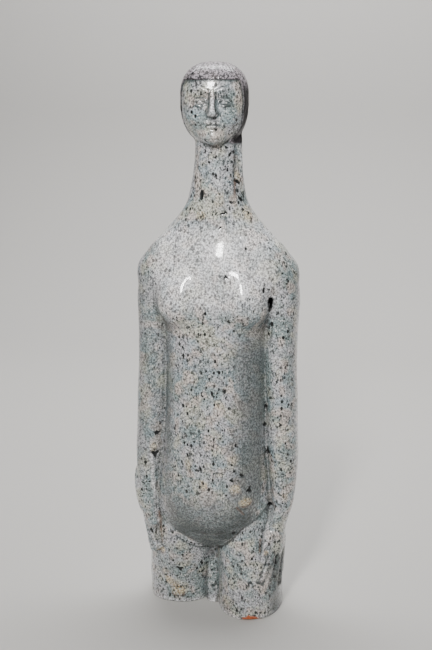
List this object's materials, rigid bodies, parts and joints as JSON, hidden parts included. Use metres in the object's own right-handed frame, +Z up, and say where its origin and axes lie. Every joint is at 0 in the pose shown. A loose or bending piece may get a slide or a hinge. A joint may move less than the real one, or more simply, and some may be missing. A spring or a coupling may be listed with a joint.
{
  "type": "ceramic figure",
  "caption": "Standing nude figure in speckled glazed ceramic, with a long neck, cropped hair and arms at its sides, cut off level at the thighs, standing upright by itself.",
  "frame": {"origin": "middle of the figure's width and depth, on the level that its soles stand on", "axes": "+Z up, the face and belly towards -Y, the figure's left side towards +X"},
  "size_m": [0.1709, 0.1146, 0.56],
  "materials": {
    "glaze": "glossy pale grey-blue glaze with dark speckles and cream patches"
  },
  "bodies": {
    "root": {"ceramic_figure": "glaze"}
  },
  "joints": []
}
